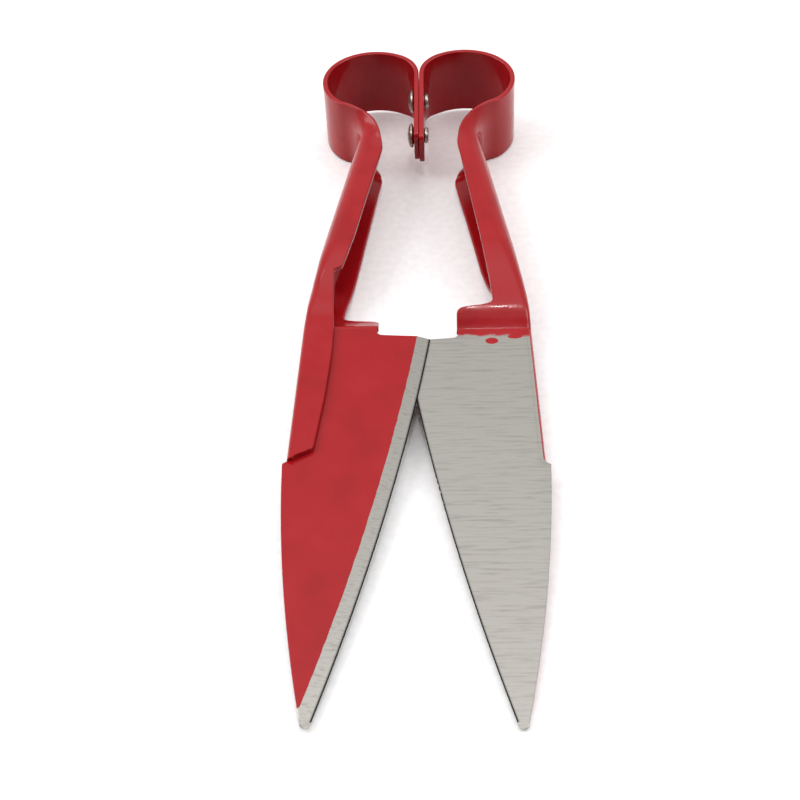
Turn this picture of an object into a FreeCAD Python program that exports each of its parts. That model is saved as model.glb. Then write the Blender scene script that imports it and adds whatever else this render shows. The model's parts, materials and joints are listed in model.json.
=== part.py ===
import FreeCAD, Part
import math
import os

# Spring shears in sheet steel: two identical pressings, each bow, channel grip and blade in one,
# riveted back to back at the middle of the double bow.
# Everything is drawn with the shearing plane level (z = 0, y forward to the bow, x = 0 between the
# halves), then tipped forward so that the tool lies on the strips at the necks and on a blade tip, as
# it does on a table.

doc = FreeCAD.newDocument("spring_shears")

# driving dimensions
sheet = doc.addObject("Spreadsheet::Sheet", "Dimensions")
DIMENSIONS = {
    "sheetThickness": 2.0,       # spring steel sheet
    "stripWidth": 30.0,          # bow strip, measured up the z axis
    "stripEndWidth": 13.4,       # riveted end of the strip, after its taper
    "stripEndLength": 33.1,      # from the start of the first bend to the end of the strip
    "taperStartY": 12.0,
    "firstBendRadius": 11.0,     # outside radii of the three bends of each bow
    "backBendRadius": 23.2,
    "sideBendRadius": 19.6,
    "neckRadius": 14.0,          # reverse bend where the bow turns into the grip
    "firstBendEnd": 51.5,        # angle round the bow where the first bend meets the second
    "backBendEnd": 120.0,
    "bendStartY": 2.02,
    "seamGap": 0.1,              # between the two strips
    "bowEndAngle": 190.0,        # where the bow node ends and the grip node starts
    "foldStart": 12.5,           # the channel's fold, measured along the grip from the bow
    "foldEnd": 40.0,
    "gripSplay": 10.2,           # outward slope of the grip, degrees
    "wallHalfHeight": 5.0,       # straight half of the channel's wall
    "channelBendRadius": 5.0,    # middle of the sheet
    "outerFlange": 11.8,         # flange on the side of the blade's outer face
    "flatFlange": 10.3,          # flange on the side of the blade's flat face
    "heelEndY": -136.0,          # the flat flange has become the blade here
    "ledgeReach": 14.6,          # inner end of the heel ledge, from the middle plane
    "backCornerY": -125.2,       # where the grip's line meets the line of the blade's back
    "backCornerBlend": 12.0,     # half length of the bend there
    "backLineX": 44.1,           # half width of the hem's outer wall, at backLineY
    "backLineY": -203.0,
    "backLineSlope": 0.037,
    "earX": 45.5,                # the blade's back stands out past the end of the hem
    "earY": -199.0,
    "backRadius": 540.0,         # back of the blade from the ear to the tip
    "hemEndY": -198.0,           # end of the hem along the blade's back
    "hemReach": 8.7,             # width of the hem at the corner of its end
    "hemCornerLength": 4.2,      # from that corner to the end
    "heelStepY": -138.3,         # depth of the step between the ledge and the blade's heel
    "heelStepRadius": 1.6,
    "bladeHeelX": -4.6,          # heel corner of the cutting edge
    "bladeHeelY": -140.6,
    "edgeMiddleX": 8.5,          # middle point of the cutting edge's long arc
    "edgeMiddleY": -213.0,
    "tipX": 32.3,
    "tipY": -298.6,
    "tipRadius": 2.0,
    "bevelWidth": 4.8,           # ground strip along the cutting edge
    "edgeThickness": 0.5,
    "bladeGap": 0.1,             # flat face of each blade to the shearing plane
    "rearRivetY": 0.2,
    "frontRivetY": -22.8,
    "shankRadius": 2.0,
    "seatRadius": 2.6,           # the head bears on the strip inside this radius
    "headRadius": 5.0,
    "headRim": 1.0,              # the rim stands clear of the strip, which bends away under it
    "headHeight": 2.9,
    "tailRadius": 3.3,
    "tailRim": 0.4,
    "tailHeight": 1.7,
    "headCrown": 2.2,            # flat top of the head
    "rivetClearance": 0.02,      # under the rivet's head and tail
    "tableTilt": 2.744,          # degrees that the tool tips forward on a table
}
for row, (alias, value) in enumerate(DIMENSIONS.items(), start=1):
    sheet.set("A%d" % row, alias)
    sheet.set("B%d" % row, repr(value))
    sheet.setAlias("B%d" % row, alias)
doc.recompute()


def size(alias):
    return float(getattr(sheet, alias))


OVERCUT = 3.0                    # how far a cutting tool runs past what it cuts
T = size("sheetThickness")
HALF_T = T / 2
V = FreeCAD.Vector


# plan of the sheet, left half
# The outer face of the strip runs up the middle plane, round the bow and down the grip. A bend's
# point at angle a lies at centre + radius * (cos a, sin a), and its inward normal is the reverse.
def along(angle, length):
    a = math.radians(angle)
    return V(length * math.cos(a), length * math.sin(a), 0)


SEAM = V(-size("seamGap") / 2, size("bendStartY"), 0)
FIRST_END, BACK_END = size("firstBendEnd"), size("backBendEnd")
FIRST_CENTRE = SEAM - along(0, size("firstBendRadius"))
BACK_CENTRE = FIRST_CENTRE + along(FIRST_END, size("firstBendRadius") - size("backBendRadius"))
BOW_CENTRE = BACK_CENTRE + along(BACK_END, size("backBendRadius") - size("sideBendRadius"))

# The neck bend is tangent to the side bend and to the grip's straight outer wall.
GRIP_ANGLE = 180.0 - size("gripSplay")
GRIP_SLOPE = math.tan(math.radians(size("gripSplay")))
BACK_CORNER_Y = size("backCornerY")
BACK_CORNER_X = size("backLineX") - size("backLineSlope") * (BACK_CORNER_Y - size("backLineY"))
GRIP_NORMAL = along(GRIP_ANGLE, -1)
GRIP_OFFSET = GRIP_NORMAL.dot(V(-BACK_CORNER_X, BACK_CORNER_Y, 0) - BOW_CENTRE)
NECK_TURN = math.degrees(math.acos(
    (GRIP_OFFSET - size("neckRadius")) / (size("sideBendRadius") + size("neckRadius"))))
NECK_START = GRIP_ANGLE + 180.0 - NECK_TURN
NECK_CENTRE = BOW_CENTRE + along(NECK_START, size("sideBendRadius") + size("neckRadius"))
SIDE_LENGTH = math.radians(NECK_START - size("bowEndAngle")) * size("sideBendRadius")
NECK_LENGTH = math.radians(NECK_START - GRIP_ANGLE) * size("neckRadius")
HEEL_BLEND = size("backCornerBlend")


def wall_x(y):
    """Half width of the outer wall from the grip's straight part to the end of the hem."""
    ahead = y - BACK_CORNER_Y
    grip = BACK_CORNER_X - GRIP_SLOPE * ahead
    back = BACK_CORNER_X - size("backLineSlope") * ahead
    if ahead > HEEL_BLEND:
        return grip
    if ahead < -HEEL_BLEND:
        return back
    share = (HEEL_BLEND - ahead) / (2 * HEEL_BLEND)
    bend = (GRIP_SLOPE - size("backLineSlope")) * HEEL_BLEND
    return BACK_CORNER_X - GRIP_SLOPE * ahead - bend * share ** 2


def smooth(share):
    share = min(max(share, 0.0), 1.0)
    return share * share * (3 - 2 * share)


# the channel's cross-section
ARC_STEPS = 3
FIRST_FOLD = 2.0                 # degrees of fold in the first section, which is nearly flat


def section(place, inward, flats, bend, radius, heights):
    """Closed wire of one folded section: flange, bend, wall, bend, flange, all one sheet thick.

    flats are the straight lengths of the outer and the flat flange, heights the two ends of the wall.
    """
    middle = []
    for side, flat, wall_end in zip((1, -1), flats, heights):
        half = []
        for step in range(ARC_STEPS + 1):
            turn = bend * step / ARC_STEPS
            half.append((HALF_T + radius * (1 - math.cos(turn)), wall_end + side * radius * math.sin(turn),
                         side * turn))
        depth, height, turn = half[-1]
        half.append((depth + flat * math.sin(bend), height + side * flat * math.cos(bend), turn))
        middle.append(half)
    line = middle[0][::-1] + middle[1]

    def at(point, offset):
        depth, height, turn = point
        depth += offset * math.cos(turn)
        height -= offset * math.sin(turn)
        return place + inward * depth + V(0, 0, height)

    ring = [at(p, -HALF_T) for p in line] + [at(p, HALF_T) for p in line[::-1]]
    return Part.makePolygon(ring + ring[:1])


def grip_place(s):
    """The outer face's point, and the way into the channel, s mm along the grip from the bow."""
    if s <= SIDE_LENGTH:
        angle = size("bowEndAngle") + math.degrees(s / size("sideBendRadius"))
        return BOW_CENTRE + along(angle, size("sideBendRadius")), along(angle, -1)
    if s <= SIDE_LENGTH + NECK_LENGTH:
        angle = NECK_START - math.degrees((s - SIDE_LENGTH) / size("neckRadius")) + 180
        return NECK_CENTRE + along(angle, size("neckRadius")), along(angle, 1)
    last = NECK_CENTRE + along(GRIP_ANGLE + 180, size("neckRadius"))
    return last + along(GRIP_ANGLE + 90, s - SIDE_LENGTH - NECK_LENGTH), along(GRIP_ANGLE + 180, 1)


def fold_station(s):
    """A section where the flat strip is being folded into the channel."""
    share = smooth((s - size("foldStart")) / (size("foldEnd") - size("foldStart")))
    place, inward = grip_place(s)
    bend = math.radians(FIRST_FOLD + (90 - FIRST_FOLD) * share)
    arc = size("channelBendRadius") * math.pi / 2
    wall = size("wallHalfHeight")
    strip = size("stripWidth") / 2 - arc - wall
    flats = [strip + (size(name) - HALF_T - size("channelBendRadius") - strip) * share ** 2
             for name in ("outerFlange", "flatFlange")]
    return section(place, inward, flats, bend, arc / bend, (wall, -wall))


def straight_station(y, top_reach, bottom_reach, top_z, bottom_z, radius):
    """A section square to the y axis; the reaches are depths from the outer wall."""
    flats = [reach - HALF_T - radius for reach in (top_reach, bottom_reach)]
    return section(V(-wall_x(y), y, 0), V(1, 0, 0), flats, math.pi / 2, radius,
                   (top_z - radius, bottom_z + radius))


def grip_sections():
    """Stations of the grip from the end of the bow to the heel of the blade."""
    # The bends take a station every 4 mm or so.
    steps = 9
    stations = [fold_station(size("foldEnd") * step / steps) for step in range(steps + 1)]
    full = size("wallHalfHeight") + size("channelBendRadius")
    outer, flat, bend = size("outerFlange"), size("flatFlange"), size("channelBendRadius")
    hem_z = size("bladeGap") + 1.5 * T + 0.1       # middle of the hem's sheet
    blade_z = size("bladeGap") + HALF_T            # middle of the blade's sheet
    # y, depth of the outer and the flat flange, height of their middles, bend radius
    heel = [(-70, outer, flat + 1.0, full, -full, bend),
            (-97, outer, flat + 2.0, full, -full, bend),
            (-104, 11.2, flat + 2.3, full - 0.6, 0.6 - full, 4.8),
            (-109.6, 10.3, 12.8, 7.9, -8.2, 4.2),
            (-111.0, 7.8, 12.8, 7.3, -7.8, 4.0),
            (-118.0, 8.8, 12.9, 5.2, -6.0, 2.8),
            (-125.5, 9.9, 13.2, hem_z + 1.0, -4.4, 1.8),
            (-128.3, 10.3, 26.4, hem_z + 0.5, -3.4, 1.5),
            (-131.4, 10.7, 27.0, hem_z, -1.5, 1.2),
            (size("heelEndY"), 11.2, wall_x(size("heelEndY")) - size("ledgeReach"),
             hem_z, blade_z, 1.04)]
    stations += [straight_station(*row) for row in heel]
    return stations


def bound(kind, name, **sizes):
    """A primitive or feature whose sizes follow cells of the sheet."""
    item = doc.addObject(kind, name)
    for key, expression in sizes.items():
        item.setExpression(key, expression)
    return item


def plain(name, shape):
    """A feature with a shape of its own, used as the base or the tool of another."""
    item = doc.addObject("Part::Feature", name)
    item.Shape = shape
    return item


def blank(name, face, height):
    """A flat face drawn up the z axis to a height that follows the sheet."""
    item = bound("Part::Extrusion", name + "_blank", LengthFwd=height)
    item.Base = plain(name + "_outline", face)
    item.DirMode = "Custom"
    item.Dir = V(0, 0, 1)
    item.Solid = True
    return item


def cut_from(name, base, tools):
    """The base less all the tools, which follow the sheet where the base does."""
    joined = doc.addObject("Part::MultiFuse", name + "_tools")
    joined.Shapes = tools
    item = doc.addObject("Part::Cut", name + "_piece")
    item.Base = base
    item.Tool = joined
    return item


def slab(points, low, high):
    """A plate with the given outline of (x, y) points, from z = low to z = high."""
    ring = [V(x, y, low) for x, y in points]
    return Part.Face(Part.makePolygon(ring + ring[:1])).extrude(V(0, 0, high - low))


def grip_piece(name):
    channel = Part.makeLoft(grip_sections(), True, True)
    start, end, step = size("heelEndY"), size("hemEndY"), 10
    low, high = size("bladeGap"), size("bladeGap") + 2 * T + 0.1
    ys = [start + (end - start) * i / step for i in range(step + 1)]
    outer = [(-wall_x(y), y) for y in ys]
    back = [(-wall_x(y) + T, y) for y in ys[::-1]]
    wall = slab(outer + back, low, high)
    reach = size("hemReach")
    tab_edge = [(-wall_x(end) + T, end), (-wall_x(end) + reach, end + size("hemCornerLength")),
                (-wall_x(start) + 11.2, start)]
    tab = slab(tab_edge + [(-wall_x(y) + T - 0.2, y) for y in ys], low + T + 0.1, high)
    return plain(name + "_piece", channel.fuse([wall, tab]).removeSplitter())


# bow
def bow_face(offset):
    """Points of one edge of the strip's plan, at a depth of offset inside its outer face."""
    first = size("firstBendRadius") - offset
    back = size("backBendRadius") - offset
    side = size("sideBendRadius") - offset
    ends = (0.0, FIRST_END, BACK_END, size("bowEndAngle"))
    bends = ((FIRST_CENTRE, first), (BACK_CENTRE, back), (BOW_CENTRE, side))
    edges = [Part.makeLine(SEAM - V(offset, size("stripEndLength"), 0), SEAM - V(offset, 0, 0))]
    for (centre, radius), start, end in zip(bends, ends, ends[1:]):
        edges.append(Part.Arc(*[centre + along(a, radius) for a in (start, (start + end) / 2, end)])
                     .toShape())
    return edges


def bow_piece(name):
    outer, inner = bow_face(0), bow_face(T)
    caps = [Part.makeLine(outer[0].Vertexes[0].Point, inner[0].Vertexes[0].Point),
            Part.makeLine(outer[-1].Vertexes[-1].Point, inner[-1].Vertexes[-1].Point)]
    face = Part.Face(Part.Wire(Part.__sortEdges__(outer + inner + caps)))
    strip = blank(name, face, "Dimensions.stripWidth")
    strip.Symmetric = True
    # The riveted end tapers to half its width, evenly from both edges.
    end_y = size("bendStartY") - size("stripEndLength")
    half, tip, taper_y = size("stripWidth") / 2, size("stripEndWidth") / 2, size("taperStartY")
    tools = []
    for side in (1, -1):
        ring = [V(OVERCUT, end_y - 1, side * tip), V(OVERCUT, taper_y, side * half),
                V(OVERCUT, taper_y, side * (half + OVERCUT)), V(OVERCUT, end_y - 1, side * (half + OVERCUT))]
        wedge = Part.Face(Part.makePolygon(ring + ring[:1])).extrude(V(-3 * OVERCUT, 0, 0))
        tools.append(plain(name + "_taper", wedge))
    for y in (size("rearRivetY"), size("frontRivetY")):
        hole = bound("Part::Cylinder", name + "_hole", Radius="Dimensions.shankRadius",
                     Height="4 * Dimensions.sheetThickness")
        hole.Placement = FreeCAD.Placement(V(-2 * T, y, 0), FreeCAD.Rotation(V(0, 1, 0), 90))
        tools.append(hole)
    return cut_from(name, strip, tools)


# blade
def blade_piece(name):
    low = size("bladeGap")
    heel_y, hem_y = size("heelEndY"), size("hemEndY")
    heel = V(-size("bladeHeelX"), size("bladeHeelY"), low)
    middle = V(-size("edgeMiddleX"), size("edgeMiddleY"), low)
    tip = V(-size("tipX"), size("tipY"), low)
    radius = size("tipRadius")
    # The rounded point ends a little less than a quarter turn to each side of its foremost spot.
    edge_end = tip + V(0.92, 1.15, 0) * radius
    back_end = tip + V(-0.88, 1.0, 0) * radius
    back_start = V(-size("earX"), size("earY"), low)
    back_sweep = (back_start.y - back_end.y) / 2
    back_mid_x = (back_start.x + back_end.x) / 2 - back_sweep ** 2 / (2 * size("backRadius"))
    back_mid = V(back_mid_x, (back_start.y + back_end.y) / 2, low)
    hem_wall = V(-wall_x(hem_y) + T, hem_y, low)
    step_top = V(-size("ledgeReach"), size("heelStepY"), low)
    step_end = step_top + V(size("heelStepRadius"), -size("heelStepRadius") * 0.7, 0)
    outline = [
        Part.Arc(heel, middle, edge_end).toShape(),
        Part.Arc(edge_end, tip, back_end).toShape(),
        Part.Arc(back_end, back_mid, back_start).toShape(),
        Part.makeLine(back_start, V(-wall_x(hem_y), hem_y, low)),
        Part.makeLine(V(-wall_x(hem_y), hem_y, low), hem_wall),
        Part.makeLine(hem_wall, V(-wall_x(heel_y) + T, heel_y, low)),
        Part.makeLine(V(-wall_x(heel_y) + T, heel_y, low), V(-size("ledgeReach"), heel_y, low)),
        Part.makeLine(V(-size("ledgeReach"), heel_y, low), step_top),
        Part.makeLine(step_top, step_end),
        Part.makeLine(step_end, heel),
    ]
    plate = blank(name, Part.Face(Part.Wire(outline)), "Dimensions.sheetThickness")
    # The bevel is a shallow slope ground along the cutting edge, in straight passes that run over.
    over, width = OVERCUT, size("bevelWidth")
    drop = (T - size("edgeThickness")) / width
    passes = []
    for start, end in ((heel, middle), (middle, edge_end)):
        run = end - start
        length = run.Length + 2 * over
        run.normalize()
        inward = V(run.y, -run.x, 0)
        begin = start - run * over
        ring = [begin - inward * over + V(0, 0, T - (width + over) * drop),
                begin + inward * width + V(0, 0, T), begin + inward * width + V(0, 0, 2 * T),
                begin - inward * over + V(0, 0, 2 * T)]
        slope = Part.Face(Part.makePolygon(ring + ring[:1])).extrude(run * length)
        passes.append(plain(name + "_pass", slope))
    return cut_from(name, plate, passes)


# rivets
def add_rivet(label, y_alias):
    """A headed rivet: a low crowned head on the left, its shank, and a clinched tail on the right."""
    reach = T + size("seamGap") / 2 + size("rivetClearance")
    # radius at the foot, radius at the top, height, side of the strips, start of the cone past the strip
    cones = [("seat", "seatRadius", "headRadius", "headRim", -1, 0),
             ("crown", "headRadius", "headCrown", "headHeight - Dimensions.headRim", -1, size("headRim")),
             ("tail_seat", "seatRadius", "tailRadius", "tailRim", 1, 0),
             ("tail", "tailRadius", "seatRadius", "tailHeight - Dimensions.tailRim", 1, size("tailRim"))]
    shank = bound("Part::Cylinder", label + "_shank",
                  Radius="Dimensions.shankRadius - Dimensions.rivetClearance",
                  Height="2 * (Dimensions.sheetThickness + Dimensions.rivetClearance) + Dimensions.seamGap")
    shank.Placement = FreeCAD.Placement(V(-reach, 0, 0), FreeCAD.Rotation(V(0, 1, 0), 90))
    solids = [shank]
    for name, foot, top, height, way, start in cones:
        cone = bound("Part::Cone", label + "_" + name, Radius1="Dimensions." + foot,
                     Radius2="Dimensions." + top, Height="Dimensions." + height)
        cone.Placement = FreeCAD.Placement(V(way * (reach + start), 0, 0),
                                           FreeCAD.Rotation(V(0, 1, 0), 90 * way))
        solids.append(cone)
    rivet = doc.addObject("Part::MultiFuse", label + "_set")
    rivet.Shapes = solids
    rivet.Label = label
    rivet.Placement = FreeCAD.Placement(PLACE + TILT.multVec(V(0, size(y_alias), 0)), TILT)
    return rivet


# placement on the table
TILT = FreeCAD.Rotation(V(1, 0, 0), size("tableTilt"))
# The right half is the same pressing as the left, turned half round the long axis.
HALVES = {"left": FreeCAD.Rotation(), "right": FreeCAD.Rotation(V(0, 1, 0), 180)}
MAKERS = {"bow": bow_piece, "grip": grip_piece, "blade": blade_piece}

pieces = []
for half, turned in HALVES.items():
    for name, maker in MAKERS.items():
        piece = maker(half + "_" + name)
        piece.Label = half + "_" + name
        piece.Placement = FreeCAD.Placement(V(0, 0, 0), TILT.multiply(turned))
        pieces.append(piece)
doc.recompute()

# The origin is the middle of the tool's box, on the table.
tool_box = Part.makeCompound([piece.Shape for piece in pieces]).BoundBox
PLACE = V(0, -(tool_box.YMin + tool_box.YMax) / 2, -tool_box.ZMin)
print("lowest points", {piece.Label: round(piece.Shape.BoundBox.ZMin, 3) for piece in pieces})
for piece in pieces:
    piece.Placement.Base = PLACE
pieces.append(add_rivet("rear_rivet", "rearRivetY"))
pieces.append(add_rivet("front_rivet", "frontRivetY"))
doc.recompute()

# checks and export
for item in doc.Objects:
    if "Invalid" in item.State or "Error" in item.State:
        raise RuntimeError("%s failed: %s" % (item.Label, item.State))
os.makedirs("parts", exist_ok=True)
for piece in pieces:
    if piece.Shape.isNull() or not piece.Shape.isValid():
        raise RuntimeError("%s has no valid shape" % piece.Label)
    print(piece.Label, len(piece.Shape.Solids), "solid", round(piece.Shape.Volume, 1), "mm3")
    piece.Shape.exportStep("parts/%s.step" % piece.Label)
whole = Part.makeCompound([p.Shape for p in pieces])
print("box", whole.BoundBox)
print("left hinge", PLACE + TILT.multVec(BOW_CENTRE), "axis", TILT.multVec(V(0, 0, 1)))
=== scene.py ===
import json
import math

import bmesh
import bpy
from mathutils import Matrix, Vector


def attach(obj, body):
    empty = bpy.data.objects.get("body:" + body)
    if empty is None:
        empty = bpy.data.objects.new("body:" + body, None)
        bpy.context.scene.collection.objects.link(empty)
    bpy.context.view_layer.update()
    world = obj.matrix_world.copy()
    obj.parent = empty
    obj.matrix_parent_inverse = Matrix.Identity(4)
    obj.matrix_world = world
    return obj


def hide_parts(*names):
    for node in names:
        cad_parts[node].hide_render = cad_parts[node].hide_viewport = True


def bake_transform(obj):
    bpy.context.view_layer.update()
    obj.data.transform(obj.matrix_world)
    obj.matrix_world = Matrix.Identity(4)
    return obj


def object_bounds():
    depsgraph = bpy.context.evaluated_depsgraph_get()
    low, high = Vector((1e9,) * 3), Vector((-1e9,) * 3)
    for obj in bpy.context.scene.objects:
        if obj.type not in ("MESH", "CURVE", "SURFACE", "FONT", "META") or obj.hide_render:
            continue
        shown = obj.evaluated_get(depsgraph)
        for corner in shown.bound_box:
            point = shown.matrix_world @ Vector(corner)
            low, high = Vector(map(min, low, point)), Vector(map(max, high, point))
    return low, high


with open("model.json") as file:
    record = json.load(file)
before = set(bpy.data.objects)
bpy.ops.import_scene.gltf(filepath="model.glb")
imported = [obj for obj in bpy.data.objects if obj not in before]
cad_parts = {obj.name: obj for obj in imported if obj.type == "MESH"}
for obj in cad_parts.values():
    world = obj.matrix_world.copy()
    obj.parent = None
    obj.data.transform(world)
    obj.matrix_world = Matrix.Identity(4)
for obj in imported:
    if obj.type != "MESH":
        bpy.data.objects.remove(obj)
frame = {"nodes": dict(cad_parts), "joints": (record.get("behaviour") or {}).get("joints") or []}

cadLow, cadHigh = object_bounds()
mm = 0.001
print("frame loaded:", len(frame["nodes"]), "CAD nodes")

# The tool is drawn in its own plane, in mm: x across, y towards the bow, z off the shearing plane.
# The left half is drawn, and the right half is the same pressing turned over on its long axis.

sheetSteel = {
    "thickness": 2.0,
    "edgeRound": 0.45,          # sheared edges are broken and then enamelled
    "seamGap": 0.1,             # between the two riveted strips
}

bowStrip = {
    "width": 30.0,
    "endWidth": 13.4,           # the riveted end tapers
    "endLength": 33.1,
    "endCorner": 2.2,
    "endRound": 0.35,           # rounding of its sheared edge
    "endUneven": {"left": 0.0, "right": 1.6},   # the two ends were cropped unevenly
    "taperStartY": 12.0,
    "bendStartY": 2.02,
    "firstRadius": 11.0,        # three bends round the bow, outside radii
    "backRadius": 23.2,
    "sideRadius": 19.6,
    "firstEnd": 51.5,
    "backEnd": 120.0,
    "endAngle": 190.0,          # the grip takes over here
    "flexFrom": -15.5,          # where the bow starts and stops flexing, outwards from its hinge
    "flexTo": 17.5,
}

channelGrip = {
    "neckRadius": 14.0,
    "splay": 10.2,
    "foldStart": 12.5,          # the channel's fold, along the grip from the bow
    "foldEnd": 40.0,
    "flangeStart": 23.0,        # the flat side's flange widens from the strip here
    "flangeEnd": 37.0,
    "wallHalf": 5.0,
    "foldRadius": 5.0,
    "outerFlange": 11.8,
    "flatFlange": 10.3,
    "backCornerY": -125.2,      # where the grip's line meets the line of the blade's back
    "backLineX": 44.1,          # that line passes here
    "backLineY": -203.0,
    "backSlope": 0.037,
    "heelBlend": 12.0,
    "heelEnd": -136.0,
    "hemEnd": -198.0,
}

bladePlate = {
    "gap": 0.1,                 # flat face to the shearing plane
    "ledge": (-14.6, -136.0),   # heel corners, then the cutting edge and the back, as (x, y)
    "stepTop": (-14.6, -138.0),     # the step down from the ledge to the heel
    "stepEnd": (-12.6, -139.5),
    "heel": (4.6, -140.6),
    "edgeMiddle": (-8.5, -213.0),
    "edgeEnd": (-30.46, -296.3),
    "tip": (-32.3, -298.6),
    "backEnd": (-34.06, -296.6),
    "ear": (-45.5, -199.0),     # the back stands out past the end of the hem
    "backRadius": 540.0,
    "hemInset": 0.75,           # the flat face stops short of the hem's wall
    "bevelWidth": 4.8,
    "edgeLand": 0.4,
    "sheared": 0.3,             # rounding of the sheared back edge
}

# from the tool's plane to the frame

def along(angle, length):
    turn = math.radians(angle)
    return Vector((length * math.cos(turn), length * math.sin(turn), 0))


seam = Vector((-sheetSteel["seamGap"] / 2, bowStrip["bendStartY"], 0))
firstCentre = seam - along(0, bowStrip["firstRadius"])
backCentre = firstCentre + along(bowStrip["firstEnd"],
                                 bowStrip["firstRadius"] - bowStrip["backRadius"])
bowCentre = backCentre + along(bowStrip["backEnd"], bowStrip["backRadius"] - bowStrip["sideRadius"])

joints = {joint["name"]: joint for joint in frame["joints"]}
hinge = Vector(joints["left_squeeze"]["pos_m"])
hingeAxis = Vector(joints["left_squeeze"]["axis"])
tableTilt = math.atan2(-hingeAxis.y, hingeAxis.z)
toFrame = (Matrix.Translation(hinge) @ Matrix.Rotation(tableTilt, 4, "X") @ Matrix.Scale(mm, 4)
           @ Matrix.Translation(-bowCentre))
turnOver = Matrix.Rotation(math.pi, 4, "Y")
halves = {"left": toFrame, "right": toFrame @ turnOver}

# the sheet's line and its fold

gripAngle = 180.0 - channelGrip["splay"]
gripSlope = math.tan(math.radians(channelGrip["splay"]))
backCornerX = (channelGrip["backLineX"]
               - channelGrip["backSlope"] * (channelGrip["backCornerY"] - channelGrip["backLineY"]))
toGrip = Vector((-backCornerX, channelGrip["backCornerY"], 0)) - bowCentre
gripOffset = along(gripAngle, -1).dot(toGrip)
neckTurn = math.degrees(math.acos((gripOffset - channelGrip["neckRadius"])
                                  / (bowStrip["sideRadius"] + channelGrip["neckRadius"])))
neckStart = gripAngle + 180.0 - neckTurn
neckCentre = bowCentre + along(neckStart, bowStrip["sideRadius"] + channelGrip["neckRadius"])
sideLength = math.radians(neckStart - bowStrip["endAngle"]) * bowStrip["sideRadius"]
neckLength = math.radians(neckStart - gripAngle) * channelGrip["neckRadius"]
straightStart = neckCentre + along(gripAngle + 180, channelGrip["neckRadius"])


def smooth(share):
    share = min(max(share, 0.0), 1.0)
    return share * share * (3 - 2 * share)


def wallX(y):
    # half width over the outer walls, from the straight grip to the end of the hem
    ahead = y - channelGrip["backCornerY"]
    blend = channelGrip["heelBlend"]
    grip = backCornerX - gripSlope * ahead
    if ahead > blend:
        return grip
    if ahead < -blend:
        return backCornerX - channelGrip["backSlope"] * ahead
    share = (blend - ahead) / (2 * blend)
    return grip - (gripSlope - channelGrip["backSlope"]) * blend * share ** 2


def follow(table, y):
    # smooth curve through (y, value) rows, in falling y
    if y >= table[0][0]:
        return table[0][1]
    if y <= table[-1][0]:
        return table[-1][1]
    i = max(k for k in range(len(table) - 1) if table[k][0] >= y)
    (y0, v0), (y1, v1) = table[i], table[i + 1]
    before, after = table[max(i - 1, 0)], table[min(i + 2, len(table) - 1)]
    slope0 = (v1 - before[1]) / (y1 - before[0]) if i else 0.0
    slope1 = (after[1] - v0) / (after[0] - y0) if i + 2 < len(table) else 0.0
    run = y1 - y0
    s = (y - y0) / run
    return ((2 * s ** 3 - 3 * s ** 2 + 1) * v0 + (s ** 3 - 2 * s ** 2 + s) * run * slope0
            + (3 * s ** 2 - 2 * s ** 3) * v1 + (s ** 3 - s ** 2) * run * slope1)


def straight(table, y):
    # straight lines through (y, value) rows, in falling y
    for (y0, v0), (y1, v1) in zip(table, table[1:]):
        if y >= y1:
            return v0 + (v1 - v0) * min(max((y - y0) / (y1 - y0), 0.0), 1.0)
    return table[-1][1]


flatSteps, arcSteps, wallSteps, roundSteps = 8, 10, 5, 3    # faces along each part of a section


def sheetRing(place, normal, fold, thickness, scale=1.0):
    # One closed ring of the sheet's cross-section. fold has, for the top and the bottom flange:
    # the flat's length, the bend's radius and turn, and the height where the wall ends.
    half = thickness / 2
    middle = []
    for side, (flat, radius, turn, wallEnd) in zip((1, -1), fold):
        part = []
        for step in range(arcSteps + 1):
            angle = turn * step / arcSteps
            part.append((radius * (1 - math.cos(angle)), wallEnd + side * radius * math.sin(angle),
                         side * angle))
        depth, height, angle = part[-1]
        for step in range(1, flatSteps + 1):
            share = flat * step / flatSteps
            part.append((depth + share * math.sin(turn), height + side * share * math.cos(turn),
                         angle))
        middle.append(part)
    top, bottom = fold[0][3], fold[1][3]
    wall = [(0.0, top + (bottom - top) * step / wallSteps, 0.0) for step in range(1, wallSteps)]
    line = middle[0][::-1] + wall + middle[1]

    def at(point, offset, out=0.0, side=1):
        depth, height, angle = point
        depth += offset * math.cos(angle) + out * abs(math.sin(angle))
        height += -offset * math.sin(angle) + side * out * math.cos(angle)
        inward = normal * (depth + sheetSteel["thickness"] / 2)
        return place + inward + Vector((0, 0, height * scale))

    r = min(sheetSteel["edgeRound"], half * 0.9)
    ring = []
    corner = [math.pi / 2 * (step + 0.5) / roundSteps for step in range(roundSteps)]
    for sign, end in ((-1, line[-1]), (1, line[0])):
        points = line if sign < 0 else line[::-1]
        side = -1 if sign < 0 else 1
        ring += [at(p, sign * half) for p in points[1:-1]]
        for face, angles in ((sign, corner), (-sign, corner[::-1])):
            ring += [at(end, face * (half - r + r * math.cos(a)), r * math.sin(a) - r, side)
                     for a in angles]
    return ring


def stripFold(bendShare, growth=1.0):
    # the strip's flat section, folded into the channel as bendShare goes from 0 to 1
    arc = channelGrip["foldRadius"] * math.pi / 2
    turn = max(math.pi / 2 * bendShare, 1e-3)
    flat = bowStrip["width"] / 2 - arc - channelGrip["wallHalf"]
    rows = []
    for side, reach, grown in ((1, channelGrip["outerFlange"], bendShare ** 2),
                               (-1, channelGrip["flatFlange"], growth)):
        full = reach - sheetSteel["thickness"] / 2 - channelGrip["foldRadius"]
        rows.append((flat + (full - flat) * grown, arc / turn, turn,
                     side * channelGrip["wallHalf"]))
    return rows


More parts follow.
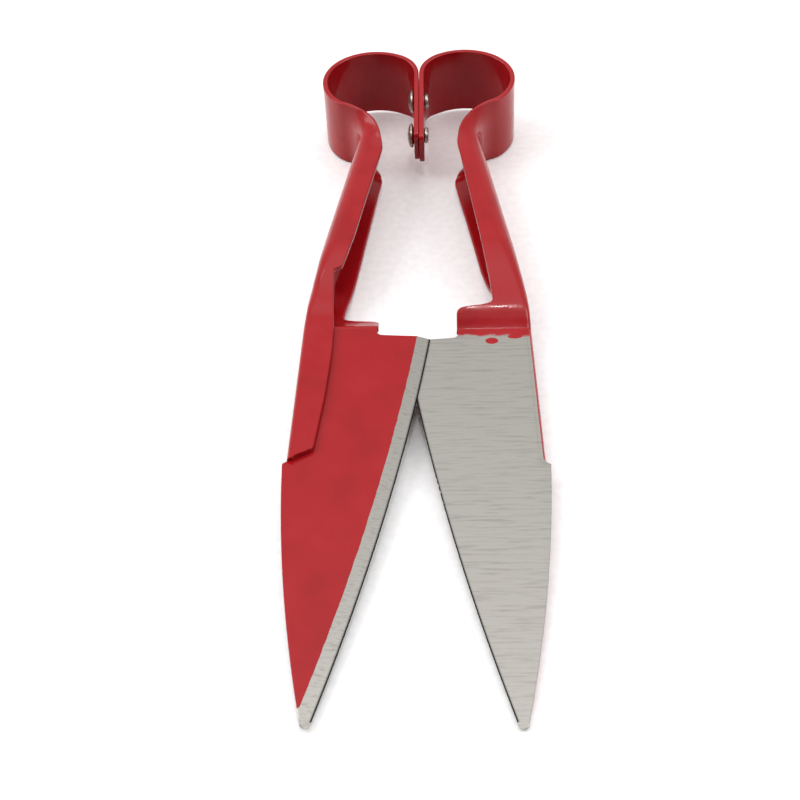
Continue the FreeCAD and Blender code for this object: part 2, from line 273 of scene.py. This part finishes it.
# Rows of (y, value) down the grip and the heel: heights and reaches of the two flanges.
t = sheetSteel["thickness"]
gap = bladePlate["gap"]
gripHalf = channelGrip["wallHalf"] + channelGrip["foldRadius"]
hemHeight = gap + 1.5 * t + 0.1         # the hem is pressed down on the blade, 0.1 mm clear
outerHeight = [(-97, gripHalf), (-104, 9.4), (-110, 7.8), (-118, 5.2), (-125.5, 4.2),
               (-131.4, hemHeight)]
flatHeight = [(-97, -gripHalf), (-104, -9.4), (-110, -8.2), (-118, -6.0), (-125.5, -4.4),
              (-128.3, -3.4), (-131.4, -1.5), (-135, gap + t / 2), (-136, gap + t / 2)]
foldRadius = [(-97, 5.0), (-110, 4.2), (-118, 2.8), (-125.5, 1.8), (-131, 1.1), (-136, 1.04)]
outerReach = [(-95, 11.8), (-104, 11.2), (-109.5, 10.3), (-110.0, 9.6), (-110.8, 7.9),
              (-111.3, 7.7), (-118, 8.8), (-125.5, 9.9), (-136, 11.2), (-150, 11.5), (-170, 10.7),
              (-193.2, 8.8), (-193.9, 8.4), (-194.6, 7.4), (-198, 0.8)]
flatReach = [(-45, 10.3), (-70, 11.3), (-97, 12.3), (-110, 12.8), (-125.0, 13.1), (-126.2, 13.9),
             (-126.9, 15.6), (-127.4, 18.0), (-127.9, 23.6), (-128.3, 25.4), (-129.0, 26.4),
             (-130.0, 26.9), (-136, 27.35)]


def heelFold(y):
    # the channel's fold where the grip turns into the hem and the blade
    radius = follow(foldRadius, y)
    top, bottom = follow(outerHeight, y), follow(flatHeight, y)
    inner = t / 2 + radius
    topFlat = max(straight(outerReach, y) - inner, 0.05)
    bottomFlat = max(straight(flatReach, y) - inner, 0.05)
    if y < channelGrip["heelEnd"]:
        bottomFlat = 0.05
    return ((topFlat, radius, math.pi / 2, top - radius),
            (bottomFlat, radius, math.pi / 2, bottom + radius))


def spread(start, end, step):
    # values from start to end, about a step apart
    count = max(1, round(abs(end - start) / step))
    return [start + (end - start) * i / count for i in range(count + 1)]


def bowRings(half):
    rings = []
    endY = bowStrip["bendStartY"] - bowStrip["endLength"] - bowStrip["endUneven"][half]
    corner, flat = bowStrip["endCorner"], stripFold(0.0, 0.0)
    middle, tip = bowStrip["width"] / 2, bowStrip["endWidth"] / 2

    def halfWidth(y):
        share = (y - endY) / (bowStrip["taperStartY"] - endY)
        return tip + (middle - tip) * min(max(share, 0.0), 1.0)

    # the strip's end, s mm from its edge: rounded corners, and thinner over the rounded edge
    edge = bowStrip["endRound"]
    ahead = [corner * (1 - math.cos(math.pi / 2 * i / 8)) for i in range(9)]
    starts = [0.0, 0.1, edge] + [v for v in ahead if v > 0.5]
    for s in starts + spread(corner + 1, seam.y - endY, 2.5):
        cut = corner - math.sqrt(max(corner ** 2 - max(corner - s, 0.0) ** 2, 0.0))
        thin = max(0.0, edge - s) / edge
        wide = (halfWidth(endY + s) - cut) / middle
        rings.append(sheetRing(Vector((seam.x, endY + s, 0)), Vector((-1, 0, 0)), flat,
                               t - 2 * edge * thin ** 2, wide))
    bends = ((firstCentre, bowStrip["firstRadius"], 0.0, bowStrip["firstEnd"]),
             (backCentre, bowStrip["backRadius"], bowStrip["firstEnd"], bowStrip["backEnd"]),
             (bowCentre, bowStrip["sideRadius"], bowStrip["backEnd"], bowStrip["endAngle"]))
    for centre, radius, start, end in bends:
        for angle in spread(start, end, 2.5)[1:]:
            place = centre + along(angle, radius)
            wide = halfWidth(place.y) / middle if angle < 90 else 1.0
            rings.append(sheetRing(place, along(angle, -1), flat, t, wide))
    return rings


def gripPlace(s):
    # the outer face's point and the way into the channel, s mm along the grip from the bow
    if s <= sideLength:
        angle = bowStrip["endAngle"] + math.degrees(s / bowStrip["sideRadius"])
        return bowCentre + along(angle, bowStrip["sideRadius"]), along(angle, -1)
    if s <= sideLength + neckLength:
        angle = neckStart - math.degrees((s - sideLength) / channelGrip["neckRadius"]) + 180
        return neckCentre + along(angle, channelGrip["neckRadius"]), along(angle, 1)
    ahead = s - sideLength - neckLength
    return straightStart + along(gripAngle + 90, ahead), along(gripAngle + 180, 1)


def gripRings():
    def progress(s, stage):
        start, end = channelGrip[stage + "Start"], channelGrip[stage + "End"]
        return smooth((s - start) / (end - start))

    rings = []
    for s in spread(0, channelGrip["foldEnd"], 0.7):
        fold = stripFold(progress(s, "fold"), progress(s, "flange"))
        rings.append(sheetRing(*gripPlace(s), fold, t))
    # along the straight part the sections turn from square to the wall to square to the y axis
    last = gripPlace(channelGrip["foldEnd"])[0]
    for y in spread(last.y, -90, 4)[1:]:
        share = smooth((last.y - y) / 30)
        normal = along(gripAngle + 180 + channelGrip["splay"] * share, 1)
        rings.append(sheetRing(Vector((-wallX(y), y, 0)), normal, heelFold(y), t))
    heel = spread(-91, -108, 1.0) + spread(-108.5, -112, 0.25) + spread(-113, -123, 1.0)
    heel += spread(-123.5, -136, 0.3) + [channelGrip["heelEnd"] - 0.001] + spread(-138, -188, 5)
    heel += spread(-189, -198, 0.75)
    for y in heel:
        rings.append(sheetRing(Vector((-wallX(y), y, 0)), Vector((1, 0, 0)), heelFold(y), t))
    return rings


def makeMesh(name, rings, transform):
    vertices = [transform @ point for ring in rings for point in ring]
    count = len(rings[0])
    faces = []
    for i in range(len(rings) - 1):
        for k in range(count):
            a, b = i * count + k, i * count + (k + 1) % count
            faces.append((a, b, b + count, a + count))
    faces.append(tuple(range(count))[::-1])
    faces.append(tuple(range((len(rings) - 1) * count, len(rings) * count)))
    mesh = bpy.data.meshes.new(name)
    mesh.from_pydata([tuple(v) for v in vertices], [], faces)
    mesh.validate()
    mesh.update()
    piece = bpy.data.objects.new(name, mesh)
    bpy.context.scene.collection.objects.link(piece)
    return piece


def finishMesh(piece, sharpAngle):
    work = bmesh.new()
    work.from_mesh(piece.data)
    bmesh.ops.remove_doubles(work, verts=work.verts, dist=1e-6)
    bmesh.ops.dissolve_degenerate(work, edges=work.edges, dist=1e-6)
    bmesh.ops.recalc_face_normals(work, faces=work.faces)
    work.to_mesh(piece.data)
    work.free()
    for face in piece.data.polygons:
        face.use_smooth = True
    piece.data.set_sharp_from_angle(angle=math.radians(sharpAngle))


# the blade: a flat plate, ground flat inside and bevelled along the outer face's cutting edge

def circleThrough(a, b, c):
    ax, ay, bx, by, cx, cy = *a, *b, *c
    d = 2 * (ax * (by - cy) + bx * (cy - ay) + cx * (ay - by))
    aa, bb, cc = ax * ax + ay * ay, bx * bx + by * by, cx * cx + cy * cy
    x = (aa * (by - cy) + bb * (cy - ay) + cc * (ay - by)) / d
    y = (aa * (cx - bx) + bb * (ax - cx) + cc * (bx - ax)) / d
    return x, y, math.hypot(ax - x, ay - y)


def arcX(circle, y, side):
    x, middleY, radius = circle
    return x + side * math.sqrt(max(radius ** 2 - (y - middleY) ** 2, 0.0))


backStart, backEnd = bladePlate["ear"], bladePlate["backEnd"]
backMiddle = ((backStart[0] + backEnd[0]) / 2
              - (backStart[1] - backEnd[1]) ** 2 / (8 * bladePlate["backRadius"]),
              (backStart[1] + backEnd[1]) / 2)
edgeCircle = circleThrough(bladePlate["heel"], bladePlate["edgeMiddle"], bladePlate["edgeEnd"])
tipCircle = circleThrough(bladePlate["edgeEnd"], bladePlate["tip"], bladePlate["backEnd"])
backCircle = circleThrough(backStart, backMiddle, backEnd)
edgeSide = math.copysign(1, bladePlate["heel"][0] - edgeCircle[0])
backSide = math.copysign(1, backStart[0] - backCircle[0])


def backX(y):
    if y > channelGrip["hemEnd"]:
        return -wallX(y) + bladePlate["hemInset"]
    if y > backStart[1]:
        share = (channelGrip["hemEnd"] - y) / (channelGrip["hemEnd"] - backStart[1])
        return -wallX(channelGrip["hemEnd"]) * (1 - share) + backStart[0] * share
    if y > backEnd[1]:
        return arcX(backCircle, y, backSide)
    return arcX(tipCircle, y, -1)


def frontX(y):
    # the heel: a short step down from the ledge, a fillet and the edge out to the cutting edge
    corners = (bladePlate[k] for k in ("stepTop", "stepEnd", "heel"))
    (stepX, stepY), (endX, endY), (heelX, heelY) = corners
    if y > stepY:
        return stepX
    if y > endY:
        share = (stepY - y) / (stepY - endY)
        return stepX + (endX - stepX) * (1 - math.sqrt(max(1 - share * share, 0.0)))
    if y > heelY:
        return endX + (heelX - endX) * (endY - y) / (endY - heelY)
    if y > bladePlate["edgeEnd"][1]:
        return arcX(edgeCircle, y, edgeSide)
    return arcX(tipCircle, y, 1)


def bladeRing(y, nicks):
    # one ring round the plate: outer face from the cutting edge to the back, then the flat face
    edge, front, back = arcX(edgeCircle, y, edgeSide), frontX(y), backX(y)
    front -= sum(depth * max(0.0, 1 - abs(y - middle) / wide) for middle, wide, depth in nicks)
    if back > front:
        back = front - 0.01
    bevel, land, top = bladePlate["bevelWidth"], bladePlate["edgeLand"], bladePlate["gap"] + t
    columns = [edge - d for d in (0.0, 0.6, 1.5, 2.6, 3.8, bevel, bevel + 0.5, bevel + 2.0)]
    columns += [columns[-1] + (back - columns[-1]) * i / 8 for i in range(1, 9)]
    columns = [min(max(x, back), front) for x in columns]

    def outerZ(x):
        share = min((edge - x) / bevel, 1.0)
        return bladePlate["gap"] + land + (t - land) * max(share, 0.0)

    r = min(bladePlate["sheared"], (front - back) / 3, (outerZ(back) - bladePlate["gap"]) / 3)
    corner = [math.pi / 2 * (i + 0.5) / 3 for i in range(3)]
    outer = [(max(x, back + r), outerZ(max(x, back + r))) for x in columns]
    upper, lower = outerZ(back), bladePlate["gap"]
    rounded = [(back + r - r * math.sin(a), upper - r + r * math.cos(a)) for a in corner]
    rounded += [(back + r - r * math.cos(a), lower + r - r * math.sin(a)) for a in corner]
    inner = [(max(x, back + r), lower) for x in columns[::-1]]
    return [Vector((x, y, z)) for x, z in outer + rounded + inner]


def bladeRows():
    ledgeY, stepY, endY, heelY = (bladePlate[k][1] for k in ("ledge", "stepTop", "stepEnd", "heel"))
    hemY, tipY = channelGrip["hemEnd"], bladePlate["tip"][1]
    rows = spread(ledgeY, stepY, 1.0)
    rows += spread(stepY, endY, 0.25)[1:] + spread(endY, heelY, 0.15)[1:]
    rows += spread(heelY - 0.6, hemY, 1.5)[:-1]
    nicksEnd = backStart[1] - groundSteel["nickedLength"]      # finer rows where the edge is nicked
    rows += spread(hemY - 0.001, backStart[1], 0.25) + spread(backStart[1] - 0.5, nicksEnd, 0.35)
    rows += spread(nicksEnd - 1, bladePlate["edgeEnd"][1], 1.5)
    lowest = tipCircle[1] - tipCircle[2]
    point = [1 - math.sin(math.pi / 2 * i / 10) for i in range(1, 11)]
    return rows + [lowest + (rows[-1] - lowest) * share for share in point]


def groundBorder(x, y, z):
    # how far a point is inside the bare ground steel, in mm; below zero it is enamelled
    edgeDepth = arcX(edgeCircle, max(y, bladePlate["edgeEnd"][1]), edgeSide) - x
    onBevel = edgeDepth < bladePlate["bevelWidth"] and z > bladePlate["gap"] + 0.05
    if onBevel or z > bladePlate["gap"] + 0.6 * t:
        if y > bladePlate["heel"][1] + 2:
            return -1.0
        return max(bladePlate["bevelWidth"] - edgeDepth, groundSteel["bareTip"] - y)
    if z > bladePlate["gap"] + 0.02:
        return min(1.0, channelGrip["hemEnd"] - y)
    return groundSteel["flatWander"] * (groundSteel["paintLine"] - y)


def edgeShadeMask(x, y, z):
    # painted shade mask: 1 on the cutting edge, falling to 0 across the shaded width
    if y > bladePlate["heel"][1] or y < bladePlate["edgeEnd"][1]:
        return 0.0
    return max(0.0, 1.0 - (frontX(y) - x) / groundSteel["edgeShade"])


def makeBlade(half):
    rows = bladeRows()
    nicks = groundSteel["nicks"] if half == "right" else ()
    rings = [bladeRing(y, nicks) for y in rows]
    piece = makeMesh(half + "_cutting_blade", rings, halves[half])
    points = [point for ring in rings for point in ring]
    marks = {"groundBorder": [groundBorder(*point) for point in points],
             "edgeShadeMask": [edgeShadeMask(*point) for point in points]}
    for name, values in marks.items():
        mark = piece.data.attributes.new(name, "FLOAT", "POINT")
        mark.data.foreach_set("value", values)
    finishMesh(piece, 14)
    return piece


# rivets: a turned head on the left, its end clinched over on the right

rivet = {
    "places": {"rear_rivet": 0.2, "front_rivet": -22.8},
    "seatRadius": 2.6,          # the head and the tail bear on the strips inside this
    "shankRadius": 1.6,         # hidden between the strips
    "headRadius": 5.0,
    "headHeight": 2.85,
    "headRim": 1.0,
    "rimChamfer": (0.2, 0.12),
    "tailRadius": 3.3,
    "tailHeight": 1.7,
    "tailRim": 0.4,
    "tailRound": 0.75,
    "tailDimple": 0.3,          # left by the setting punch
    "around": 48,
}


def rivetProfile():
    # (x, radius) from the middle of the head to the middle of the tail
    face = t + sheetSteel["seamGap"] / 2 + 0.01
    rim, high = rivet["headRim"], rivet["headHeight"]
    profile = []
    for i in range(13):
        a = math.pi / 2 * i / 12
        crown = (high - rim) * math.cos(a)
        profile.append((-face - rim - crown, rivet["headRadius"] * math.sin(a)))
    chamferDepth, chamferIn = rivet["rimChamfer"]
    seat, shank = rivet["seatRadius"], rivet["shankRadius"]
    profile += [(-face - rim + chamferDepth, rivet["headRadius"] - chamferIn), (-face, seat)]
    profile += [(-face + 0.1, shank), (face - 0.1, shank), (face, seat)]
    radius, high = rivet["tailRadius"], rivet["tailHeight"]
    rim, corner = rivet["tailRim"], rivet["tailRound"]
    for i in range(8):
        a = math.pi / 2 * i / 7
        profile.append((face + rim + (high - rim) * math.sin(a),
                        radius - corner * (1 - math.cos(a))))
    for i in range(1, 7):
        share = i / 6
        profile.append((face + high - rivet["tailDimple"] * smooth(share),
                        (radius - corner) * (1 - share)))
    return profile


def makeRivet(name, y):
    rings = []
    for x, radius in rivetProfile():
        ring = []
        for k in range(rivet["around"]):
            a = 2 * math.pi * k / rivet["around"]
            ring.append(Vector((x, y + radius * math.cos(a), radius * math.sin(a))))
        rings.append(ring)
    piece = makeMesh(name.replace("_rivet", "_rivet_set"), rings, toFrame)
    finishMesh(piece, 40)
    return piece


# materials

def linearColour(code):
    channels = [int(code[i:i + 2], 16) / 255 for i in (1, 3, 5)]
    linear = [c / 12.92 if c <= 0.04045 else ((c + 0.055) / 1.055) ** 2.4 for c in channels]
    return tuple(linear) + (1.0,)


def addNode(tree, kind, settings=None, links=None):
    node = tree.nodes.new(kind)
    for name, value in (settings or {}).items():
        if name in node.inputs.keys() or isinstance(name, int):
            node.inputs[name].default_value = value
        else:
            setattr(node, name, value)
    for name, source in (links or {}).items():
        tree.links.new(source, node.inputs[name])
    return node


def newMaterial(name):
    material = bpy.data.materials.new(name)
    material.use_nodes = True
    tree = material.node_tree
    tree.nodes.clear()
    output = addNode(tree, "ShaderNodeOutputMaterial")
    return material, tree, output


def ramp(tree, source, stops):
    # a ramp between numbers or colours, given as (place, value) stops
    node = addNode(tree, "ShaderNodeValToRGB", links={"Fac": source})
    node.color_ramp.interpolation = "EASE"
    elements = node.color_ramp.elements
    while len(elements) < len(stops):
        elements.new(0.5)
    for element, (place, colour) in zip(elements, stops):
        element.position = place
        element.color = colour if isinstance(colour, tuple) else (colour, colour, colour, 1.0)
    return node.outputs["Color"]


def perMetre(size):
    return 1.0 / (size * mm)    # texture cells of this size in mm


redEnamel = {
    # stoved gloss enamel, dipped over the raw pressing: a wet-looking red skin that pulls thin
    # on the sheared edges and settles thicker and darker inside the folds; here its tone only
    # wanders at random between the three reds below
    "colour": "#961016",
    "thin": "#99151C",
    "deep": "#8F0E14",
    "roughness": 0.17,
    "ior": 1.5,
    "specular": 0.3,
    "orangePeel": 1.8,          # mm
    "cloud": 14.0,              # mm
    "bump": 0.035,              # mm
}

groundSteel = {
    # tool steel ground on a belt, with fine cross scratches that spread the light along the blade
    "colour": "#ABA8A2",
    "dark": "#96928D",
    "edge": "#211F1E",          # painted shade: a dark line along the cutting edge, for the shadow in the gap between the blades
    "edgeShade": 0.9,                # mm; width of the painted shade along the cutting edge
    "roughness": 0.36,
    "scratchLong": 14.0,        # mm
    "scratchWide": 0.9,         # mm; the real grit is about 0.1, too fine to show
    "slant": 0.12,              # of the scratches, in radians
    "bump": 0.008,              # mm
    "paintLine": -138.6,        # the flat face is enamelled above this
    "bareTip": -292.5,          # the outer face is bare below this
    "ragged": 0.5,              # mm
    "flatWander": 0.12,         # the smaller, the more the paint line wanders on the flat face
    "raggedWave": 4.2,          # mm
    # stray enamel on the right blade: x, y and half sizes
    "drops": ((27.0, -141.2, 2.4, 1.5), (35.4, -139.1, 2.5, 1.2)),
    "nickedLength": 19.0,       # mm of the cutting edge, towards the tip from the ear
    # chips in the right blade's edge: y, half length and depth
    "nicks": ((-205.0, 0.5, 0.5), (-207.3, 0.7, 0.45), (-210.2, 0.6, 0.6), (-214.8, 0.4, 0.35)),
}

rivetSteel = {
    # drawn mild steel wire, headed cold and rubbed bright: mirror-like on the dome, dull at the
    # rim; here dull patches are mottled at random over the whole rivet
    "colour": "#BDB6AB",
    "dull": "#6E675F",
    "roughness": 0.34,
    "mottle": 1.1,
    "bump": 0.01,
}


def enamelColour(tree, place):
    cloud = addNode(tree, "ShaderNodeTexNoise",
                    {"Scale": perMetre(redEnamel["cloud"]), "Detail": 3.0},
                    {"Vector": place}).outputs["Fac"]
    return ramp(tree, cloud, [(stop, linearColour(redEnamel[name]))
                              for stop, name in ((0.3, "deep"), (0.5, "colour"), (0.72, "thin"))])


def enamelHeight(tree, place):
    peel = addNode(tree, "ShaderNodeTexNoise",
                   {"Scale": perMetre(redEnamel["orangePeel"]), "Detail": 1.0, "Roughness": 0.4},
                   {"Vector": place}).outputs["Fac"]
    swell = addNode(tree, "ShaderNodeTexNoise",
                    {"Scale": perMetre(redEnamel["orangePeel"] * 6), "Detail": 1.0},
                    {"Vector": place}).outputs["Fac"]
    return addNode(tree, "ShaderNodeMath", {"operation": "MULTIPLY_ADD", 1: 3.0},
                   {0: swell, 2: peel}).outputs["Value"]


def makeEnamel():
    material, tree, output = newMaterial("red_stoved_enamel")
    place = addNode(tree, "ShaderNodeTexCoord").outputs["Object"]
    rough = addNode(tree, "ShaderNodeTexNoise",
                    {"Scale": perMetre(redEnamel["cloud"] / 2), "Detail": 4.0},
                    {"Vector": place}).outputs["Fac"]
    roughness = ramp(tree, rough, [(0.3, redEnamel["roughness"] - 0.05),
                                   (0.7, redEnamel["roughness"] + 0.08)])
    bump = addNode(tree, "ShaderNodeBump", {"Strength": 1.0, "Distance": redEnamel["bump"] * mm},
                   {"Height": enamelHeight(tree, place)}).outputs["Normal"]
    shader = addNode(tree, "ShaderNodeBsdfPrincipled",
                     {"IOR": redEnamel["ior"], "Specular IOR Level": redEnamel["specular"]},
                     {"Base Color": enamelColour(tree, place), "Roughness": roughness,
                      "Normal": bump})
    tree.links.new(shader.outputs["BSDF"], output.inputs["Surface"])
    return material


def makeBladeFinish():
    material, tree, output = newMaterial("enamelled_and_ground_steel")
    place = addNode(tree, "ShaderNodeTexCoord").outputs["Object"]
    long, wide = perMetre(groundSteel["scratchLong"]), perMetre(groundSteel["scratchWide"])
    grain = addNode(tree, "ShaderNodeMapping",
                    {"Scale": (long, wide, wide), "Rotation": (0, 0, groundSteel["slant"])},
                    {"Vector": place}).outputs["Vector"]
    scratch = addNode(tree, "ShaderNodeTexNoise", {"Scale": 1.0, "Detail": 5.0, "Roughness": 0.65},
                      {"Vector": grain}).outputs["Fac"]
    steel = ramp(tree, scratch, [(0.3, linearColour(groundSteel["dark"])),
                                 (0.55, linearColour(groundSteel["colour"]))])
    # painted shade: the steel turns near black along the cutting edge, for the shadow in the gap
    # between the blades
    edge = addNode(tree, "ShaderNodeAttribute", {"attribute_name": "edgeShadeMask"}).outputs["Fac"]
    edgeShade = addNode(tree, "ShaderNodeMapRange", {"From Min": 0.2, "From Max": 0.7},
                   {"Value": edge}).outputs["Result"]
    steel = addNode(tree, "ShaderNodeMix",
                    {"data_type": "RGBA", 7: linearColour(groundSteel["edge"])},
                    {0: edgeShade, 6: steel}).outputs[2]
    border = addNode(tree, "ShaderNodeAttribute", {"attribute_name": "groundBorder"}).outputs["Fac"]
    ragged = addNode(tree, "ShaderNodeTexNoise",
                     {"Scale": perMetre(groundSteel["raggedWave"]), "Detail": 2.0},
                     {"Vector": place}).outputs["Fac"]
    amount = groundSteel["ragged"]
    shifted = addNode(tree, "ShaderNodeMath",
                      {"operation": "MULTIPLY_ADD", 1: amount, 2: -amount / 2},
                      {0: ragged}).outputs["Value"]
    reach = addNode(tree, "ShaderNodeMath", {"operation": "ADD"},
                    {0: border, 1: shifted}).outputs["Value"]
    bare = addNode(tree, "ShaderNodeMapRange", {"From Min": -0.08, "From Max": 0.08},
                   {"Value": reach}).outputs["Result"]
    for x, y, wide, high in groundSteel["drops"]:
        centre = toFrame @ Vector((x, y, 0))
        scaleX, scaleY = perMetre(wide), perMetre(high)
        spot = addNode(tree, "ShaderNodeMapping",
                       {"Scale": (scaleX, scaleY, 0.0),
                        "Location": (-centre.x * scaleX, -centre.y * scaleY, 0)},
                       {"Vector": place}).outputs["Vector"]
        outside = addNode(tree, "ShaderNodeVectorMath", {"operation": "LENGTH"},
                          {0: spot}).outputs["Value"]
        wavy = addNode(tree, "ShaderNodeMath", {"operation": "ADD"},
                       {0: outside, 1: shifted}).outputs["Value"]
        clear = addNode(tree, "ShaderNodeMapRange", {"From Min": 0.95, "From Max": 1.05},
                        {"Value": wavy}).outputs["Result"]
        bare = addNode(tree, "ShaderNodeMath", {"operation": "MULTIPLY"},
                       {0: bare, 1: clear}).outputs["Value"]
    colour = addNode(tree, "ShaderNodeMix", {"data_type": "RGBA"},
                     {0: bare, 6: enamelColour(tree, place), 7: steel}).outputs[2]
    steelRough = ramp(tree, scratch, [(0.3, groundSteel["roughness"] + 0.12),
                                      (0.7, groundSteel["roughness"] - 0.05)])
    roughness = addNode(tree, "ShaderNodeMapRange", {"To Min": redEnamel["roughness"]},
                        {"Value": bare, "To Max": steelRough}).outputs["Result"]
    scratched = addNode(tree, "ShaderNodeMath", {"operation": "MULTIPLY"},
                        {0: scratch, 1: bare}).outputs["Value"]
    bump = addNode(tree, "ShaderNodeBump", {"Strength": 1.0, "Distance": groundSteel["bump"] * mm},
                   {"Height": scratched}).outputs["Normal"]
    shader = addNode(tree, "ShaderNodeBsdfPrincipled",
                     {"Specular IOR Level": redEnamel["specular"]},
                     {"Base Color": colour, "Metallic": bare, "Roughness": roughness,
                      "Normal": bump})
    tree.links.new(shader.outputs["BSDF"], output.inputs["Surface"])
    return material


def makeRivetSteel():
    material, tree, output = newMaterial("cold_headed_steel")
    place = addNode(tree, "ShaderNodeTexCoord").outputs["Object"]
    mottle = addNode(tree, "ShaderNodeTexNoise",
                     {"Scale": perMetre(rivetSteel["mottle"]), "Detail": 5.0},
                     {"Vector": place}).outputs["Fac"]
    colour = ramp(tree, mottle, [(0.32, linearColour(rivetSteel["dull"])),
                                 (0.55, linearColour(rivetSteel["colour"]))])
    roughness = ramp(tree, mottle, [(0.3, rivetSteel["roughness"] + 0.2),
                                    (0.65, rivetSteel["roughness"])])
    bump = addNode(tree, "ShaderNodeBump", {"Strength": 1.0, "Distance": rivetSteel["bump"] * mm},
                   {"Height": mottle}).outputs["Normal"]
    shader = addNode(tree, "ShaderNodeBsdfPrincipled", {"Metallic": 1.0},
                     {"Base Color": colour, "Roughness": roughness, "Normal": bump})
    tree.links.new(shader.outputs["BSDF"], output.inputs["Surface"])
    return material


enamel, bladeFinish, rivetFinish = makeEnamel(), makeBladeFinish(), makeRivetSteel()
print("materials ready")

# the pieces

for half in halves:
    bow = makeMesh(half + "_spring_bow", bowRings(half), halves[half])
    finishMesh(bow, 50)
    bow.data.materials.append(enamel)
    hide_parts(half + "_bow")
    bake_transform(bow)

    grip = makeMesh(half + "_channel_grip", gripRings(), halves[half])
    finishMesh(grip, 50)
    grip.data.materials.append(enamel)
    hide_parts(half + "_grip")
    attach(grip, half + "_arm")

    blade = makeBlade(half)
    blade.data.materials.append(bladeFinish)
    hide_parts(half + "_blade")
    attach(blade, half + "_arm")

for name, y in rivet["places"].items():
    head = makeRivet(name, y)
    head.data.materials.append(rivetFinish)
    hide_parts(name)
    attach(head, "spine")
print("shears made")

# a pale sweep under soft studio light

studio = {
    "floorSize": 3.0,           # metres
    "floor": "#FAF9F9",
    "fleck": "#F1F0F0",
    "sky": "#FFFFFF",
    "darkSide": "#4A4A4C",      # the room in front of the table is not lit
    "skyStrength": 0.8,
    "overhead": 2.0,            # the sky brightens towards the ceiling
    "banks": {                  # place, size in metres, watts
        "left_bank": ((-0.95, 0.1, 0.9), (0.7, 0.9), 9.0),
        "right_bank": ((0.95, -0.2, 0.9), (0.6, 0.6), 5.0),
        "small_lamp": ((0.04, -0.2, 1.3), (0.06, 0.06), 1.6),
    },
}


def makeFloor():
    size = studio["floorSize"]
    mesh = bpy.data.meshes.new("table")
    corners = [(-size, -size, 0), (size, -size, 0), (size, size, 0), (-size, size, 0)]
    mesh.from_pydata(corners, [], [(0, 1, 2, 3)])
    floor = bpy.data.objects.new("table", mesh)
    bpy.context.scene.collection.objects.link(floor)
    material, tree, output = newMaterial("matt_white_board")
    place = addNode(tree, "ShaderNodeTexCoord").outputs["Object"]
    fleck = addNode(tree, "ShaderNodeTexNoise", {"Scale": perMetre(3.0), "Detail": 3.0},
                    {"Vector": place}).outputs["Fac"]
    colour = ramp(tree, fleck, [(0.2, linearColour(studio["fleck"])),
                                (0.8, linearColour(studio["floor"]))])
    shader = addNode(tree, "ShaderNodeBsdfPrincipled", {"Roughness": 0.9}, {"Base Color": colour})
    tree.links.new(shader.outputs["BSDF"], output.inputs["Surface"])
    mesh.materials.append(material)
    floor.location.z = cadLow[2] - 0.1 * mm


def makeSky():
    world = bpy.data.worlds.new("studio_sky")
    world.use_nodes = True
    tree = world.node_tree
    way = addNode(tree, "ShaderNodeTexCoord").outputs["Generated"]
    axes = addNode(tree, "ShaderNodeSeparateXYZ", links={"Vector": way}).outputs
    share = addNode(tree, "ShaderNodeMapRange", {"From Min": -1.0, "From Max": 1.0},
                    {"Value": axes["Y"]}).outputs["Result"]
    strength = addNode(tree, "ShaderNodeMapRange",      # rises over the last quarter of the height
                       {"From Min": 0.75, "To Min": studio["skyStrength"],
                        "To Max": studio["overhead"]},
                       {"Value": axes["Z"]}).outputs["Result"]
    colour = ramp(tree, share, [(0.05, linearColour(studio["darkSide"])),
                                (0.45, linearColour(studio["sky"]))])
    background = tree.nodes["Background"]
    tree.links.new(strength, background.inputs["Strength"])
    tree.links.new(colour, background.inputs["Color"])
    bpy.context.scene.world = world


def makeLight(name, place, target, size, power):
    data = bpy.data.lights.new(name, "AREA")
    data.shape = "RECTANGLE"
    data.size, data.size_y = size
    data.energy = power
    lamp = bpy.data.objects.new(name, data)
    lamp.location = place
    lamp.rotation_euler = (Vector(target) - Vector(place)).to_track_quat("-Z", "Y").to_euler()
    bpy.context.scene.collection.objects.link(lamp)


makeFloor()
for name, (place, size, power) in studio["banks"].items():
    makeLight(name, place, (0, 0, 0), size, power)
makeSky()
bpy.context.scene.view_settings.view_transform = "Standard"

cameraView = {
    "height": 48.5446,          # degrees above the tool's plane
    "turn": -3.4189,            # degrees round it
    "roll": -3.4582,
    "lens": 67.5,
    "sensor": 36.0,
    "distance": 527.258,        # mm
    "target": (-5.9855, -169.3126, 0.0),
}


def makeCamera():
    height, turn, roll = (math.radians(cameraView[k]) for k in ("height", "turn", "roll"))
    forward = Vector((math.sin(turn) * math.cos(height), math.cos(turn) * math.cos(height),
                      -math.sin(height)))
    right = Vector((math.cos(turn), -math.sin(turn), 0))
    up = right.cross(forward)
    across = right * math.cos(roll) + up * math.sin(roll)
    upward = up * math.cos(roll) - right * math.sin(roll)
    place = Vector(cameraView["target"]) - forward * cameraView["distance"]
    pose = Matrix((across, upward, -forward)).transposed().to_4x4()
    pose.translation = place
    data = bpy.data.cameras.new("camera")
    data.lens, data.sensor_width = cameraView["lens"], cameraView["sensor"]
    data.clip_start = 0.01
    camera = bpy.data.objects.new("camera", data)
    turned = toFrame.to_3x3().normalized().to_4x4() @ pose.to_3x3().to_4x4()
    turned.translation = toFrame @ place
    camera.matrix_world = turned
    bpy.context.scene.collection.objects.link(camera)
    bpy.context.scene.camera = camera


makeCamera()
